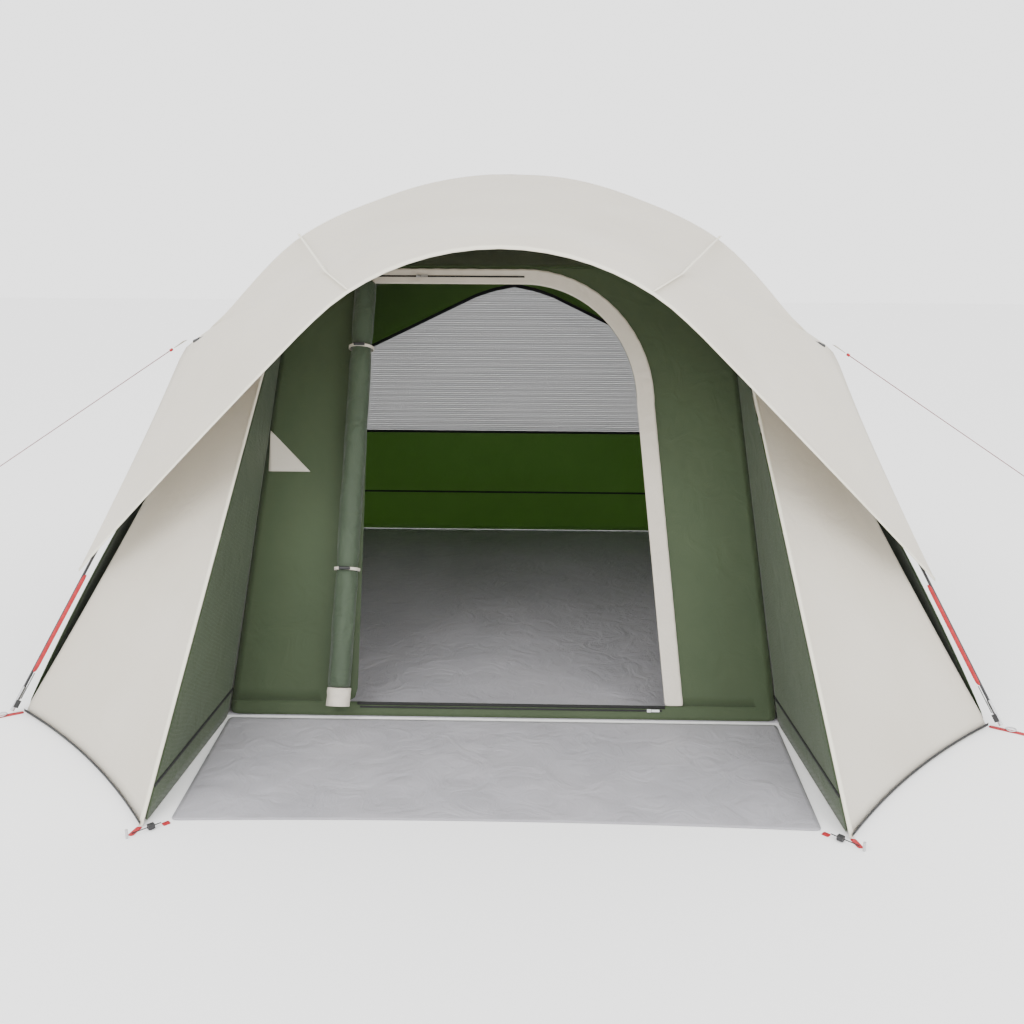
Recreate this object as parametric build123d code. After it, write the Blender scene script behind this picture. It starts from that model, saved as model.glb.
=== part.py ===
"""A dome tent on three fibreglass poles, with an open porch, pitched and pegged out.

Two main poles cross over the middle of the sleeping floor. A third, the brow pole, bows forward
over both and carries the hood of the flysheet. The front faces -Y and the ground is z = 0.
The origin is on the ground under the pole crossing. Every length is in millimetres.
"""

import os
from math import cos, hypot, pi, radians, sin, tan

from build123d import *

# ---- driving dimensions ------------------------------------------------------------------------
FEET_WIDTH = 3400.0  # between the left and right pole feet
FEET_DEPTH = 2460.0  # between the front and back pole feet
CROSSING_HEIGHT = 1822.0  # centre of the lower main pole at the crossing
FABRIC = 2.0  # thickness that every sheet of cloth is drawn at

ROD_R = 4.75  # fibreglass rod
FERRULE_R, FERRULE_BORE_R, FERRULE_LENGTH = 7.0, 5.9, 60.0
FOOT_TUBE_R, FOOT_TUBE_LENGTH = 6.6, 92.0
ROD_SECTIONS, BROW_SECTIONS = 9, 6
CROSSING_LIFT = 15.0  # the upper main pole over the lower one

LEG_ANGLE = radians(58.0)  # the poles leave the ground at this angle
SHOULDER_END_ANGLE = radians(24.0)
LEG_RUN = 660.0  # plan length of the straight leg

BROW_TOP = (0.0, -1430.0, 1580.0)
BROW_RADIUS, BROW_HALF_ANGLE, BROW_STRAIGHT = 656.0, radians(42.2), 940.0
BROW_PLANE_SLOPE = radians(25.5)  # the brow pole's plane, down towards the back

SHOULDER_HEIGHT = 1500.0  # where the inner tent's walls turn into its roof
SHOULDER_HALF_X, SHOULDER_HALF_Y = 800.0, 580.0
INNER_FOOT_X, INNER_FOOT_Y = 1655.0, 1215.0  # corners of the sleeping floor
KNEE_HEIGHT, KNEE_HALF_X = 1055.0, 1120.0  # where the inner tent's corner edges bend in
INNER_ROOF_HEIGHT = 1745.0
WALL_FOOT_X = 945.0  # where the recessed front wall meets the ground
WING_TIP_X, WING_TIP_Y = 985.0, 1912.0
BACK_MESH_HEIGHT = 620.0

DOOR_LEFT, DOOR_RIGHT_FOOT, DOOR_RIGHT_SPRING = -500.0, 560.0, 470.0
DOOR_SILL, DOOR_SPRING, DOOR_TOP, DOOR_ARCH_END = 48.0, 1030.0, 1440.0, 60.0
BINDING_WIDTH = 62.0
FLAP_LEFT, FLAP_LOW, FLAP_WIDTH, FLAP_TALL = -848.0, 790.0, 150.0, 138.0  # cable flap on the front wall
FLY_STRAP_WIDTH = 15.0

FLY_APEX_HEIGHT = 1868.0
FLY_OVER_POLE = 22.0  # the flysheet's underside over a pole's centre line
FLY_CLOTH = 4.0  # the flysheet is drawn this deep, measured straight up
BROW_CROSSING, MAIN_CROSSING = 101.0, 1470.0  # along each pole to where the brow crosses a leg
CORNER_ALONG = 545.0  # the flysheet's corners, along each leg
GUY_POINT = (1188.0, -648.0, 1231.0)
HOOD_HEM = (-1530.0, 1567.0)  # front hem: y and height at the middle, depth of its arch
BACK_HEM = (900.0, 1420.0)
HEM_RADIUS, HEM_STRAIGHT = 800.0, radians(43.8)
ROOF_COLUMNS = 6

MAT_BACK_X, MAT_FRONT_X, MAT_BACK_Y, MAT_FRONT_Y = 935.0, 912.0, 1236.0, 1880.0
GUY_ANGLE, GUY_LENGTH = radians(32.7), 1215.0  # below the horizontal, and to the far end of its eye
CORD_R = 1.5
WEB = 1.6  # webbing thickness

HALF_X, HALF_Y = FEET_WIDTH / 2, FEET_DEPTH / 2
SPAN = hypot(HALF_X, HALF_Y)
DIAG_X, DIAG_Y = HALF_X / SPAN, HALF_Y / SPAN

os.makedirs("parts", exist_ok=True)


def save(name, *solids):
    """Writes one named piece, made of one or more separate solids."""
    export_step(Compound(label=name, children=list(solids)), f"parts/{name}.step")


def prism(corners, push):
    """A flat polygon pushed along a vector: one facet of a cloth panel."""
    face = Face(Wire.make_polygon([Vector(*c) for c in corners], close=True))
    return Solid.extrude(face, Vector(*push))


def cloth(rows, push):
    """A cloth panel between rows of points, two triangular facets to each square."""
    facets = []
    for low, high in zip(rows, rows[1:]):
        for i in range(len(low) - 1):
            for corners in ((low[i], low[i + 1], high[i + 1]), (low[i], high[i + 1], high[i])):
                a, b, c = (Vector(*p) for p in corners)
                if (b - a).cross(c - a).length > 1.0:
                    facets.append(prism(corners, push))
    return facets


def mirrored(point, side):
    """The same point on the left (-1) or right (+1) side."""
    return (side * point[0], point[1], point[2])


def rod_along(start, end, radius):
    """A straight round bar between two points."""
    a, b = Vector(*start), Vector(*end)
    return Solid.make_cylinder(radius, (b - a).length, Plane(origin=a, z_dir=b - a))


def tube_along(start, end, radius, bore):
    """A straight tube between two points."""
    a, b = Vector(*start), Vector(*end)
    plane = Plane(origin=a, z_dir=b - a)
    ring = Solid.make_cylinder(radius, (b - a).length, plane)
    return ring - Solid.make_cylinder(bore, (b - a).length, plane)


def strip(start, end, across, width, thick):
    """A flat strap from start to end, its width lying along the vector across."""
    a, b = Vector(*start), Vector(*end)
    along = b - a
    side = Vector(*across)
    side = (side - along * (side.dot(along) / along.dot(along))).normalized()
    up = along.normalized().cross(side)
    half = side * (width / 2)
    corners = [a - half, a + half, b + half, b - half]
    return prism([tuple(c - up * (thick / 2)) for c in corners], tuple(up * thick))


# ---- pole paths --------------------------------------------------------------------------------
class Path:
    """Straight lines and arcs in one plane, end to end, read by the distance along them."""

    def __init__(self, place, start, heading):
        self.place, self.pieces, self.length = place, [], 0.0
        self.at, self.heading = start, heading

    def add(self, length, radius=None):
        """One more run. A radius turns it down to the right."""
        self.pieces.append((self.length, length, radius, self.at, self.heading))
        self.at, self.heading = self.flat(self.pieces[-1], length)
        self.length += length
        return self

    @staticmethod
    def flat(piece, along):
        _, _, radius, (u, v), heading = piece
        if radius is None:
            return (u + along * cos(heading), v + along * sin(heading)), heading
        turned = heading - along / radius
        return (
            u + radius * (sin(heading) - sin(turned)),
            v + radius * (cos(turned) - cos(heading)),
        ), turned

    def find(self, along):
        piece = [p for p in self.pieces if p[0] <= along + 1e-9][-1]
        return self.flat(piece, along - piece[0])

    def point(self, along):
        return Vector(*self.place(*self.find(along)[0]))

    def direction(self, along):
        return (self.point(along + 0.5) - self.point(along - 0.5)).normalized()

    def edges(self, low, high):
        found = []
        for begin, length, radius, _, _ in self.pieces:
            a, b = max(low, begin), min(high, begin + length)
            if b - a < 0.5:
                continue
            if radius is None:
                found.append(Edge.make_line(self.point(a), self.point(b)))
            else:
                middle = self.point((a + b) / 2)
                found.append(Edge.make_three_point_arc(self.point(a), middle, self.point(b)))
        return found

    def sweep(self, low, high, radius):
        wire = Wire(self.edges(low, high))
        plane = Plane(origin=self.point(low), z_dir=self.direction(low + 0.6))
        return Solid.sweep(Face(Wire.make_circle(radius, plane)), wire)


def main_profile(lift):
    """Leg, shoulder and roof of a main pole, then the same again down the other side."""
    apex = CROSSING_HEIGHT + lift
    knee = LEG_RUN * tan(LEG_ANGLE)
    rise = (cos(SHOULDER_END_ANGLE) - cos(LEG_ANGLE)) / (sin(LEG_ANGLE) - sin(SHOULDER_END_ANGLE))
    crown = tan(SHOULDER_END_ANGLE / 2)
    shoulder_end = (apex - crown * SPAN - knee + rise * LEG_RUN) / (rise - crown)
    bend = (shoulder_end - LEG_RUN) / (sin(LEG_ANGLE) - sin(SHOULDER_END_ANGLE))
    roof = (SPAN - shoulder_end) / sin(SHOULDER_END_ANGLE)
    leg = LEG_RUN / cos(LEG_ANGLE)
    shoulder = bend * (LEG_ANGLE - SHOULDER_END_ANGLE)
    return leg, (shoulder, bend), (2 * roof * SHOULDER_END_ANGLE, roof)


def main_path(side, lift):
    """From the front foot on one side, over the crossing, to the back foot on the other."""

    def place(u, v):
        return side * (u * DIAG_X - HALF_X), u * DIAG_Y - HALF_Y, v

    leg, shoulder, roof = main_profile(lift)
    path = Path(place, (0.0, 0.0), LEG_ANGLE)
    return path.add(leg).add(*shoulder).add(*roof).add(*shoulder).add(leg)


def brow_path():
    """From the left guy point, forward round the hood, to the right guy point."""

    def place(u, v):
        back = BROW_RADIUS - v
        x, y, z = BROW_TOP
        return x + u, y + back * cos(BROW_PLANE_SLOPE), z - back * sin(BROW_PLANE_SLOPE)

    end_u = -BROW_RADIUS * sin(BROW_HALF_ANGLE) - BROW_STRAIGHT * cos(BROW_HALF_ANGLE)
    end_v = BROW_RADIUS * cos(BROW_HALF_ANGLE) - BROW_STRAIGHT * sin(BROW_HALF_ANGLE)
    path = Path(place, (end_u, end_v), BROW_HALF_ANGLE)
    return path.add(BROW_STRAIGHT).add(2 * BROW_RADIUS * BROW_HALF_ANGLE, BROW_RADIUS).add(BROW_STRAIGHT)


FOOT_START = 12.0  # along the pole's line, so that the foot tube's rim just clears the ground
PIN_LENGTH = 46.0
RAIL = {"left": main_path(1, 0.0), "right": main_path(-1, CROSSING_LIFT)}
BROW = brow_path()


def rods(path, low, high, count):
    """The rod sections of one pole, which meet inside their ferrules."""
    step = (high - low) / count
    gap = 0.3
    return [path.sweep(low + i * step + gap, low + (i + 1) * step - gap, ROD_R) for i in range(count)]


def joints_of(low, high, count):
    return [low + (high - low) * i / count for i in range(1, count)]


def sleeve(path, middle, length, radius, bore):
    """A straight metal tube round a pole."""
    at, along = path.point(middle), path.direction(middle)
    return tube_along(tuple(at - along * (length / 2)), tuple(at + along * (length / 2)), radius, bore)


main_low = FOOT_START + PIN_LENGTH + 2.0
ferrules = []
for name, path in RAIL.items():
    main_high = path.length - main_low
    save(f"main_pole_front_{name}", *rods(path, main_low, main_high, ROD_SECTIONS))
    for s in joints_of(main_low, main_high, ROD_SECTIONS):
        ferrules.append(sleeve(path, s, FERRULE_LENGTH, FERRULE_R, FERRULE_BORE_R))
BROW_TIP = 30.0
save("brow_pole", *rods(BROW, BROW_TIP / 2, BROW.length - BROW_TIP / 2, BROW_SECTIONS))
for s in joints_of(0.0, BROW.length, BROW_SECTIONS):
    ferrules.append(sleeve(BROW, s, FERRULE_LENGTH, FERRULE_R, FERRULE_BORE_R))
save("pole_ferrules", *ferrules)

# ---- feet: steel tube, pin and ring at each corner --------------------------------------------
CORNERS = [
    ("front_left", -1, -1),
    ("front_right", 1, -1),
    ("back_left", -1, 1),
    ("back_right", 1, 1),
]
RING_MAJOR, RING_MINOR = 16.0, 2.2
tubes, pins, rings = [], [], []
leg_lines = {}
for corner, sx, sy in CORNERS:
    foot = Vector(sx * HALF_X, sy * HALF_Y, 0)
    up = Vector(-sx * DIAG_X * cos(LEG_ANGLE), -sy * DIAG_Y * cos(LEG_ANGLE), sin(LEG_ANGLE))
    leg_lines[corner] = (foot, up)
    low, high = foot + up * FOOT_START, foot + up * (FOOT_START + FOOT_TUBE_LENGTH)
    tubes.append(tube_along(tuple(low), tuple(high), FOOT_TUBE_R, FERRULE_BORE_R))
    pins.append(rod_along(tuple(low + up * 1.0), tuple(low + up * PIN_LENGTH), ROD_R))
    out = Vector(sx * DIAG_X, sy * DIAG_Y, 0)
    ring_at = foot + out * (RING_MAJOR + 10.0) + Vector(0, 0, RING_MINOR + WEB + 0.4)
    rings.append(Solid.make_torus(RING_MAJOR, RING_MINOR, Plane(origin=ring_at)))
save("foot_tubes", *tubes)
save("foot_pins", *pins)
save("foot_rings", *rings)

# brow pole end caps, closed over the rod ends
caps = []
for side, s in ((-1, 0.0), (1, BROW.length)):
    outward = BROW.direction(1.0) * -1 if side < 0 else BROW.direction(BROW.length - 1.0)
    tip = BROW.point(min(max(s, 0.01), BROW.length - 0.01))
    cap = rod_along(tuple(tip - outward * BROW_TIP), tuple(tip + outward * 6.0), 7.0)
    bore_end = tip - outward * (BROW_TIP / 2 - 1)
    cap -= rod_along(tuple(tip - outward * (BROW_TIP + 1)), tuple(bore_end), FERRULE_BORE_R)
    caps.append(cap)
save("brow_pole_caps", *caps)

# ---- inner tent ---------------------------------------------------------------------------------
WALL_LEAN = (INNER_FOOT_Y - SHOULDER_HALF_Y) / SHOULDER_HEIGHT
FLOOR = FABRIC


def wall_y(z):
    """The front wall's outer face at a height. The back wall is its mirror image."""
    return -INNER_FOOT_Y + WALL_LEAN * z


def front_points(flat):
    return [(x, wall_y(z), z) for x, z in flat]


def wall_edge(z):
    """Half width of the front wall at a height, just inside the side walls' edges."""
    return edge_x(z, WALL_FOOT_X) - 3.0


def edge_x(z, foot_x):
    """Half width of a wall at a height, from its foot to the shoulder."""
    return foot_x + (SHOULDER_HALF_X - foot_x) * z / SHOULDER_HEIGHT


floor_outline = [
    (-INNER_FOOT_X, -INNER_FOOT_Y),
    (INNER_FOOT_X, -INNER_FOOT_Y),
    (INNER_FOOT_X, INNER_FOOT_Y),
    (-INNER_FOOT_X, INNER_FOOT_Y),
]
floor_solids = [prism([(x, y, 0) for x, y in floor_outline], (0, 0, FLOOR))]
for side in (-1, 1):
    wing = [(side * WALL_FOOT_X, -INNER_FOOT_Y), (side * INNER_FOOT_X, -INNER_FOOT_Y)]
    wing.append((side * WING_TIP_X, -WING_TIP_Y))
    floor_solids.append(prism([(x, y, 0) for x, y in wing], (0, 0, FLOOR)))
save("groundsheet", *floor_solids)

# front wall: flat pieces round the door, which stands open
inward = (0.0, FABRIC, 0.0)
wall_bottom = FLOOR + 0.5


def arch(t):
    """The door's top right corner, a quarter of an ellipse from its right side to its top."""
    angle = t * pi / 2
    x = DOOR_ARCH_END + (DOOR_RIGHT_SPRING - DOOR_ARCH_END) * cos(angle)
    return x, DOOR_SPRING + (DOOR_TOP - DOOR_SPRING) * sin(angle)


ARCH_STEPS = 4
arch_points = [arch(i / ARCH_STEPS) for i in range(ARCH_STEPS + 1)]
top_z = SHOULDER_HEIGHT
pieces = [
    [(-wall_edge(wall_bottom), wall_bottom), (wall_edge(wall_bottom), wall_bottom),
     (wall_edge(DOOR_SILL), DOOR_SILL), (-wall_edge(DOOR_SILL), DOOR_SILL)],
    [(-wall_edge(DOOR_SILL), DOOR_SILL), (DOOR_LEFT, DOOR_SILL), (DOOR_LEFT, top_z),
     (-wall_edge(top_z), top_z)],
    [(DOOR_RIGHT_FOOT, DOOR_SILL), (wall_edge(DOOR_SILL), DOOR_SILL),
     (wall_edge(DOOR_SPRING), DOOR_SPRING), (DOOR_RIGHT_SPRING, DOOR_SPRING)],
    [(DOOR_LEFT, DOOR_TOP), (DOOR_ARCH_END, DOOR_TOP), (DOOR_ARCH_END, top_z), (DOOR_LEFT, top_z)],
]
for (x0, z0), (x1, z1) in zip(arch_points, arch_points[1:]):
    pieces.append([(x0, z0), (wall_edge(z0), z0), (wall_edge(z1), z1), (x1, z1)])
pieces.append([(DOOR_ARCH_END, DOOR_TOP), (wall_edge(DOOR_TOP), DOOR_TOP),
               (wall_edge(top_z), top_z), (DOOR_ARCH_END, top_z)])
save("front_wall", *[prism(front_points(p), inward) for p in pieces])

# side walls, back wall and back mesh
def body_x(z):
    """Half width of the inner tent at a height. Its corner edges bend in at the knee."""
    if z < KNEE_HEIGHT:
        return INNER_FOOT_X + (KNEE_HALF_X - INNER_FOOT_X) * z / KNEE_HEIGHT
    share = (z - KNEE_HEIGHT) / (SHOULDER_HEIGHT - KNEE_HEIGHT)
    return KNEE_HALF_X + (SHOULDER_HALF_X - KNEE_HALF_X) * share


def side_strip(side, low, high):
    corners = [(side * body_x(z), s * wall_y(z), z) for z, s in ((low, 1), (low, -1), (high, -1), (high, 1))]
    return prism(corners, (-side * FABRIC, 0, 0))


def back_strip(low, high):
    """A flat stretch of the back wall between two heights, clear of the side walls' edges."""
    turns = ((low, -1), (low, 1), (high, 1), (high, -1))
    corners = [(s * (body_x(z) - 3.0), -wall_y(z), z) for z, s in turns]
    return prism(corners, (0, -FABRIC, 0))


for name, side in (("left", -1), ("right", 1)):
    below_knee = side_strip(side, wall_bottom, KNEE_HEIGHT)
    above_knee = side_strip(side, KNEE_HEIGHT, SHOULDER_HEIGHT)
    save(f"side_wall_{name}", below_knee, above_knee)
save("back_wall", back_strip(wall_bottom, BACK_MESH_HEIGHT))
save("back_mesh", back_strip(BACK_MESH_HEIGHT, KNEE_HEIGHT), back_strip(KNEE_HEIGHT, SHOULDER_HEIGHT))

roof_apex = (0.0, 0.0, INNER_ROOF_HEIGHT)
ring = [(sx * SHOULDER_HALF_X, sy * SHOULDER_HALF_Y, SHOULDER_HEIGHT + 0.5)
        for sx, sy in ((-1, -1), (1, -1), (1, 1), (-1, 1))]
save("inner_roof", *[prism([ring[i], ring[(i + 1) % 4], roof_apex], (0, 0, FABRIC)) for i in range(4)])

# wings: an outer and an inner panel on each side, from the shoulder to the wing's peg
shoulder_lift = 0.985
for name, side in (("left", -1), ("right", 1)):
    apex = (side * (SHOULDER_HALF_X + 8), -(SHOULDER_HALF_Y + 14), SHOULDER_HEIGHT * shoulder_lift)
    tip = (side * WING_TIP_X, -WING_TIP_Y, wall_bottom)
    foot = (side * (INNER_FOOT_X - 2), -INNER_FOOT_Y - 6, wall_bottom)
    knee = (side * (KNEE_HALF_X - 2), wall_y(KNEE_HEIGHT) - 8, KNEE_HEIGHT)
    away = (0, -FABRIC, 0)
    save(f"wing_outer_{name}", prism([foot, tip, knee], away), prism([knee, tip, apex], away))
    inner_foot = (side * (WALL_FOOT_X - 1), -INNER_FOOT_Y - 4, wall_bottom)
    inner_apex = (side * (SHOULDER_HALF_X - 4), -(SHOULDER_HALF_Y + 18), SHOULDER_HEIGHT * shoulder_lift)
    inner_tip = (side * (WING_TIP_X - 8), -WING_TIP_Y, wall_bottom)
    save(f"wing_inner_{name}", prism([inner_foot, inner_tip, inner_apex], (-side * FABRIC, 0, 0)))

# ---- flysheet: panels between lines that lie over the poles -----------------------------------
def over_main(along, sx, sy):
    """The cloth's place over a main pole, a distance up from its foot."""
    (u, v), heading = RAIL["right"].find(along)
    u, v = u - FLY_OVER_POLE * sin(heading), v + FLY_OVER_POLE * cos(heading)
    return sx * (HALF_X - u * DIAG_X), sy * (HALF_Y - u * DIAG_Y), v


def over_brow(along, side):
    """The cloth's place over the brow pole, a distance in from its tip."""
    (u, v), heading = BROW.find(along)
    lift = FLY_OVER_POLE * sin(pi / 4)
    x, y, z = BROW.place(u - lift * sin(heading), v + lift * cos(heading))
    return -side * x, y + lift * sin(BROW_PLANE_SLOPE), z + lift * cos(BROW_PLANE_SLOPE)


def hem(x, line):
    """A point on a hem: an arc over the middle, then straight down to the corners."""
    y0, z0 = line
    corner_x, corner_y, corner_z = over_main(CORNER_ALONG, 1, 1)
    turn = HEM_RADIUS * sin(HEM_STRAIGHT)

    def drop(at):
        arc = HEM_RADIUS - (HEM_RADIUS ** 2 - min(at, turn) ** 2) ** 0.5
        return arc + max(0.0, at - turn) * tan(HEM_STRAIGHT)

    share = abs(x) / corner_x
    y_end = corner_y if y0 > 0 else -corner_y
    return x, y0 + (y_end - y0) * share ** 2, z0 - (z0 - corner_z) * drop(abs(x)) / drop(corner_x)


def between(a, b, share):
    return tuple(p + (q - p) * share for p, q in zip(a, b))


apex = (0.0, 0.0, FLY_APEX_HEIGHT)
half_brow, half_main = BROW.length / 2, RAIL["right"].length / 2
leg_stops = [1245.0, 920.0, CORNER_ALONG]
down = (0, 0, FLY_CLOTH)


def brow_line(side):
    steps = [BROW_CROSSING + (half_brow - BROW_CROSSING) * i / ROOF_COLUMNS for i in range(ROOF_COLUMNS + 1)]
    return [over_brow(s, side) for s in steps]


def main_line(side, sy):
    """From where the brow crosses a leg up to the flysheet's top."""
    steps = [MAIN_CROSSING + (half_main - MAIN_CROSSING) * i / ROOF_COLUMNS for i in range(ROOF_COLUMNS)]
    line = [over_main(s, side, sy) for s in steps] + [apex]
    first = brow_line(side)[0]
    line[0] = first if sy < 0 else (first[0], -first[1], first[2])
    return line


def across(half):
    """A left-hand line, then its mirror image back down the right-hand side."""
    left = half(-1)
    return left + half(1)[-2::-1]


roof_front, roof_ridge = across(brow_line), across(lambda side: main_line(side, -1))
save("fly_roof", *cloth([roof_front, roof_ridge], down))


def skirt(line, sy, top_line):
    """A strip between a hem and the line over the poles above it."""
    def half(side):
        legs = [over_main(s, side, sy) for s in leg_stops[::-1]]
        return legs + top_line(side)

    upper = across(half)
    middle = len(upper) // 2
    corner_x = abs(upper[0][0])
    lower = [hem(corner_x * (i - middle) / middle, line) for i in range(len(upper))]
    lower[0], lower[-1] = upper[0], upper[-1]
    return cloth([lower, upper], down)


save("fly_hood", *skirt(HOOD_HEM, -1, brow_line))
save("fly_back", *skirt(BACK_HEM, 1, lambda side: main_line(side, 1)))

for name, side in (("left", -1), ("right", 1)):
    front, back = main_line(side, -1), main_line(side, 1)
    facets = cloth([front[:-1], back[:-1]], down)
    facets += cloth([[front[-2], apex], [back[-2], apex]], down)
    guy = mirrored(GUY_POINT, side)
    crossing_front, crossing_back = front[0], back[0]
    leg_front = [crossing_front] + [over_main(s, side, -1) for s in leg_stops]
    leg_back = [over_main(s, side, 1) for s in leg_stops]
    edge = [guy] + [between(between(guy, leg_front[3], share), leg_front[i], 0.45)
                    for i, share in ((1, 0.33), (2, 0.66))] + [leg_front[3]]
    facets += cloth([leg_front, edge], down)
    columns = 4
    top = [between(crossing_front, crossing_back, i / columns) for i in range(columns + 1)]
    mid = [between(guy, leg_back[0], i / columns) for i in range(columns + 1)]
    arch_low = [guy, (side * 1214, -250, 1098), (side * 1250, 180, 972), (side * 1345, 640, 770), leg_back[2]]
    facets += cloth([top, mid], down) + cloth([mid, arch_low], down)
    save(f"fly_side_{name}", *facets)

# ---- guy lines, their tabs and runners --------------------------------------------------------
guy_dir = (cos(GUY_ANGLE), 0.0, -sin(GUY_ANGLE))
TAB_LENGTH, TAB_WIDTH, EYE_R, RUN_GAP = 52.0, 46.0, 7.0, 14.0
RUNNER_AT, RUNNER_TRAVEL = 1075.0, 50.0
tabs = []
for name, side in (("left", -1), ("right", 1)):
    start = Vector(*mirrored(GUY_POINT, side)) + Vector(side * 6, 0, 1)
    along = Vector(side * guy_dir[0], 0, guy_dir[2])
    across_line = Vector(0, 1, 0)
    up_line = Vector(side * sin(GUY_ANGLE), 0, cos(GUY_ANGLE))
    tabs.append(strip(tuple(start), tuple(start + along * TAB_LENGTH), (0, 1, 0), TAB_WIDTH, WEB))
    root = start + along * (TAB_LENGTH + 6.0)
    turn = start + along * (GUY_LENGTH - EYE_R)
    back = across_line * RUN_GAP
    tail = start + along * (RUNNER_AT - 90.0)
    wire = Wire([
        Edge.make_line(root, turn),
        Edge.make_three_point_arc(turn, turn + along * EYE_R + back * 0.5, turn + back),
        Edge.make_line(turn + back, tail + back),
    ])
    cord = Solid.sweep(Face(Wire.make_circle(CORD_R, Plane(origin=root, z_dir=along))), wire)
    save(f"guy_line_{name}", cord)
    knots = [tube_along(tuple(root + along * 2), tuple(root + along * 13), 5.0, CORD_R + 0.4)]
    knots.append(rod_along(tuple(tail + back - along * 11), tuple(tail + back - along * 1), 4.5))
    save(f"guy_knots_{name}", *knots)
    middle = start + along * RUNNER_AT + back * 0.5
    plate = Solid.make_box(34.0, 30.0, 7.0,
                           Plane(origin=middle - along * 17 - across_line * 15 - up_line * 3.5,
                                                   x_dir=along, z_dir=up_line))
    for shift in (-0.5, 0.5):
        a = middle + back * shift
        plate -= rod_along(tuple(a - along * 30), tuple(a + along * 30), CORD_R + 0.5)
    save(f"guy_runner_{name}", plate)
save("guy_tabs", *tabs)

# ---- straps at the pole feet ------------------------------------------------------------------
webs, straps, elastics, hooks = [], [], [], []
for corner, sx, sy in CORNERS:
    foot, up = leg_lines[corner]
    out = Vector(sx * DIAG_X, sy * DIAG_Y, 0)
    aside = Vector(-sx * DIAG_Y, sy * DIAG_X, 0)
    body = Vector(sx * (INNER_FOOT_X + 4), sy * (INNER_FOOT_Y + 3), 0)
    webs.append(strip(tuple(body + Vector(0, 0, WEB / 2)), tuple(foot + out * 130 + Vector(0, 0, WEB / 2)),
                      tuple(aside), 20.0, WEB))
    beside = aside * 17.0
    top = foot + up * (CORNER_ALONG - 6.0) + beside
    bottom = foot + up * 165.0 + beside
    straps.append(strip(tuple(bottom), tuple(top), tuple(out), FLY_STRAP_WIDTH, WEB))
    hook_top = foot + up * 62.0 + beside
    for gap in (-4.0, 4.0):
        elastics.append(rod_along(tuple(hook_top + out * gap), tuple(bottom - up * 5 + out * gap), CORD_R))
    hooks.append(strip(tuple(foot + up * 30.0 + beside), tuple(hook_top - up * 5.0), tuple(out), 16.0, 4.0))
save("corner_webbing", *webs)
save("fly_straps", *straps)
save("fly_elastics", *elastics)
save("fly_hooks", *hooks)

# ---- door: binding, rolled panel, ties, zips and cable flap -----------------------------------
LEAN = Vector(0, 1, -WALL_LEAN).normalized()
OUTWARD = LEAN * -1
UP_WALL = OUTWARD.cross(Vector(1, 0, 0))


def on_wall(x, z, off=0.0):
    return Vector(x, wall_y(z), z) + OUTWARD * off


def wall_box(x, z, width, height, low, high):
    """A block lying on the front wall, between two heights above its cloth."""
    corner = on_wall(x, z, low) - Vector(width / 2, 0, 0) - UP_WALL * (height / 2)
    return Solid.make_box(width, height, high - low, Plane(origin=corner, x_dir=(1, 0, 0), z_dir=OUTWARD))


def wall_patch(flat, off=0.6, thick=FABRIC):
    return prism([tuple(on_wall(x, z, off)) for x, z in flat], tuple(OUTWARD * thick))


def outside_arch(t, grow):
    angle = t * pi / 2
    x = DOOR_ARCH_END + (DOOR_RIGHT_SPRING + grow - DOOR_ARCH_END) * cos(angle)
    return x, DOOR_SPRING + (DOOR_TOP + grow * 0.85 - DOOR_SPRING) * sin(angle)


binding = [wall_patch([(DOOR_RIGHT_FOOT, DOOR_SILL), (DOOR_RIGHT_FOOT + BINDING_WIDTH, DOOR_SILL),
                       (DOOR_RIGHT_SPRING + BINDING_WIDTH, DOOR_SPRING), (DOOR_RIGHT_SPRING, DOOR_SPRING)])]
inner = [outside_arch(i / ARCH_STEPS, 0.0) for i in range(ARCH_STEPS + 1)]
outer = [outside_arch(i / ARCH_STEPS, BINDING_WIDTH) for i in range(ARCH_STEPS + 1)]
for i in range(ARCH_STEPS):
    binding.append(wall_patch([inner[i], outer[i], outer[i + 1], inner[i + 1]]))
binding.append(wall_patch([(DOOR_LEFT, inner[-1][1]), inner[-1], outer[-1], (DOOR_LEFT, outer[-1][1])]))
save("door_binding", *binding)

ROLL_R, ROLL_OFF, ROLL_X_LOW, ROLL_X_HIGH = 42.0, 50.0, -555.0, -515.0
roll_low, roll_high = on_wall(ROLL_X_LOW, 92.0, ROLL_OFF), on_wall(ROLL_X_HIGH, 1425.0, ROLL_OFF)
roll_axis = (roll_high - roll_low).normalized()
save("rolled_door", rod_along(tuple(roll_low), tuple(roll_high), ROLL_R))
save("rolled_door_hem",
     rod_along(tuple(roll_low - roll_axis * 62), tuple(roll_low - roll_axis * 0.5), ROLL_R + 1))
loops, toggles = [], []
for height in (0.28, 0.83):
    centre = roll_low + (roll_high - roll_low) * height
    low_rim, high_rim = tuple(centre - roll_axis * 5), tuple(centre + roll_axis * 5)
    loops.append(tube_along(low_rim, high_rim, ROLL_R + 3.0, ROLL_R + 0.6))
    bar = centre + OUTWARD * (ROLL_R + 9.5)
    toggles.append(rod_along(tuple(bar - Vector(19, 0, 0)), tuple(bar + Vector(19, 0, 0)), 5.5))
save("tie_loops", *loops)
save("tie_toggles", *toggles)

SILL_ZIP_Z, TOP_ZIP_Z = DOOR_SILL - 16.0, DOOR_TOP + 26.0
save("door_zips", wall_box(30.0, SILL_ZIP_Z, 1040.0, 6.0, 0.6, 2.4),
     wall_box(-215.0, TOP_ZIP_Z, 550.0, 6.0, 3.0, 4.8))


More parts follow.
